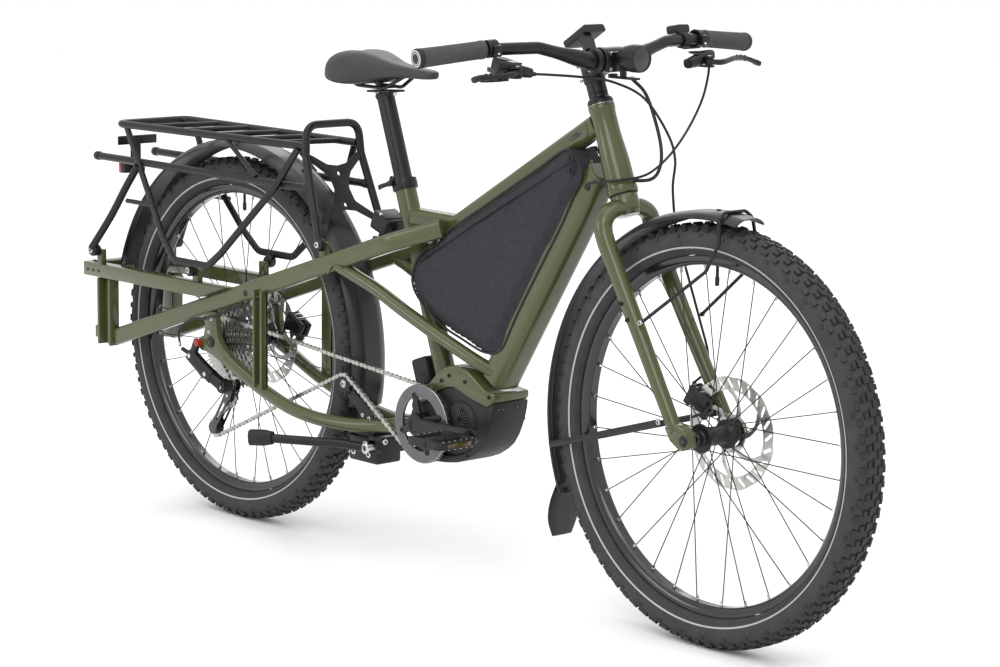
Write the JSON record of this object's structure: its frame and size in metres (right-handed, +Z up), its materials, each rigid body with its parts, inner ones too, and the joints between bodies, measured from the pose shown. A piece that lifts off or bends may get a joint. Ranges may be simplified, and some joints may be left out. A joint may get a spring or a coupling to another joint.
{
  "type": "cargo bicycle",
  "caption": "Long-tail cargo bicycle: low frame with twin side beams, mid motor, rear deck and tubular rack, frame bag, disc brakes, mudguards and a two-legged stand.",
  "frame": {"origin": "centre of the bounding box, on the floor under the bicycle", "axes": "+X towards the front wheel, +Y to the rider's left, +Z up"},
  "size_m": [2.155, 0.8226, 1.0756],
  "materials": {
    "frame_paint": "gloss",
    "black_metal": "satin black anodised",
    "steel": "bare",
    "crank_metal": "dark anodised",
    "motor_plastic": "fine grain",
    "black_plastic": "matte",
    "tyre_rubber": "treaded",
    "grip_rubber": "ribbed",
    "lamp_red": "clear red lens",
    "bag_fabric": "woven with piped seams",
    "saddle_cover": "fine grain"
  },
  "bodies": {
    "frame": {"head_tube": "frame_paint", "top_tube": "frame_paint", "down_tube": "frame_paint", "seat_tube": "frame_paint", "motor_shell": "frame_paint", "motor_unit": "motor_plastic", "skid_plate": "motor_plastic", "beam_right": "frame_paint", "beam_left": "frame_paint", "chainstay_right": "frame_paint", "chainstay_left": "frame_paint", "deck_frame": "frame_paint", "rack_deck": "black_metal", "rack_side_right": "black_metal", "rack_side_left": "black_metal", "taillight": "lamp_red", "rear_mudguard": "black_plastic", "chain": "steel", "derailleur_body": "black_metal", "stand_mount": "black_metal", "rear_caliper": "black_metal", "frame_bag": "bag_fabric", "gear_cable": "black_plastic", "rear_hose": "black_plastic"},
    "steering": {"fork": "frame_paint", "front_caliper": "black_metal", "front_mudguard": "black_plastic", "handlebar": "black_metal", "stem": "black_metal", "grip_right": "grip_rubber", "grip_left": "grip_rubber", "brake_body_right": "black_metal", "brake_body_left": "black_metal", "display": "black_plastic", "headlight": "black_plastic", "front_hose": "black_plastic"},
    "front_wheel": {"front_tyre": "tyre_rubber", "front_rim": "black_metal", "front_spokes": "black_metal", "front_hub": "black_metal", "front_rotor": "steel"},
    "rear_wheel": {"rear_tyre": "tyre_rubber", "rear_rim": "black_metal", "rear_spokes": "black_metal", "rear_hub": "black_metal", "rear_rotor": "steel"},
    "sprockets": {"cassette": "steel"},
    "cranks": {"crankset_right": "crank_metal", "crank_left": "crank_metal"},
    "pedal_right": {"pedal_right": "black_plastic"},
    "pedal_left": {"pedal_left": "black_plastic"},
    "idler": {"chain_idler": "black_plastic"},
    "cage": {"derailleur_cage": "black_metal"},
    "stand": {"stand_legs": "black_metal"},
    "brake_lever_right": {"brake_lever_right": "black_metal"},
    "brake_lever_left": {"brake_lever_left": "black_metal"},
    "shift_lever": {"shift_lever": "black_plastic"},
    "seat": {"seatpost": "black_metal", "saddle": "saddle_cover"},
    "seat_lever": {"seat_clamp_lever": "black_metal"}
  },
  "joints": [
    {"name": "steer", "type": "hinge", "parent": "frame", "child": "steering", "pos_m": [0.4675, 0, 0.779], "axis": [-0.3683, 0, 0.9297], "range_deg": [-60, 60], "deforming": ["rear_hose"]},
    {"name": "front_wheel_spin", "type": "hinge", "parent": "steering", "child": "front_wheel", "pos_m": [0.7015, 0, 0.376], "axis": [0, 1, 0], "continuous": true},
    {"name": "rear_wheel_spin", "type": "hinge", "parent": "frame", "child": "rear_wheel", "pos_m": [-0.6365, 0, 0.376], "axis": [0, 1, 0], "continuous": true},
    {"name": "crank_spin", "type": "hinge", "parent": "frame", "child": "cranks", "pos_m": [-0.0085, 0, 0.297], "axis": [0, 1, 0], "continuous": true},
    {"name": "sprocket_spin", "type": "hinge", "parent": "frame", "child": "sprockets", "pos_m": [-0.6365, -0.047, 0.376], "axis": [0, 1, 0], "continuous": true},
    {"name": "idler_spin", "type": "hinge", "parent": "frame", "child": "idler", "pos_m": [-0.2495, -0.052, 0.34], "axis": [0, 1, 0], "continuous": true},
    {"name": "pedal_right_spin", "type": "hinge", "parent": "cranks", "child": "pedal_right", "pos_m": [0.1614, -0.155, 0.30293], "axis": [0, 1, 0], "continuous": true},
    {"name": "pedal_left_spin", "type": "hinge", "parent": "cranks", "child": "pedal_left", "pos_m": [-0.1784, 0.155, 0.29107], "axis": [0, 1, 0], "continuous": true},
    {"name": "cage_swing", "type": "hinge", "parent": "frame", "child": "cage", "pos_m": [-0.6125, -0.062, 0.286], "axis": [0, 1, 0], "range_deg": [-18, 12], "stiffness_Nm_per_rad": 0.6, "deforming": ["chain"]},
    {"name": "stand_fold", "type": "hinge", "parent": "frame", "child": "stand", "pos_m": [-0.1785, 0, 0.222], "axis": [0, -1, 0], "range_deg": [0, 88]},
    {"name": "brake_lever_right_pull", "type": "hinge", "parent": "steering", "child": "brake_lever_right", "pos_m": [0.4435, -0.238, 1.003], "axis": [0, 0, -1], "range_deg": [0, 11], "stiffness_Nm_per_rad": 1},
    {"name": "brake_lever_left_pull", "type": "hinge", "parent": "steering", "child": "brake_lever_left", "pos_m": [0.4435, 0.238, 1.003], "axis": [0, 0, 1], "range_deg": [0, 11], "stiffness_Nm_per_rad": 1},
    {"name": "shift_lever_push", "type": "hinge", "parent": "steering", "child": "shift_lever", "pos_m": [0.3935, -0.224, 0.987], "axis": [0, 0, 1], "range_deg": [-12, 20], "stiffness_Nm_per_rad": 0.3},
    {"name": "seat_height", "type": "slide", "parent": "frame", "child": "seat", "axis": [-0.333, 0, 0.9429], "range_m": [-0.11, 0.04]},
    {"name": "seat_lever_turn", "type": "hinge", "parent": "frame", "child": "seat_lever", "pos_m": [-0.1385, -0.031, 0.744], "axis": [-0.333, 0, 0.9429], "range_deg": [0, 120]}
  ],
  "couplings": [
    {"joint": "sprocket_spin", "follows": "crank_spin", "ratio": 1.587},
    {"joint": "idler_spin", "follows": "crank_spin", "ratio": -3.8421}
  ]
}
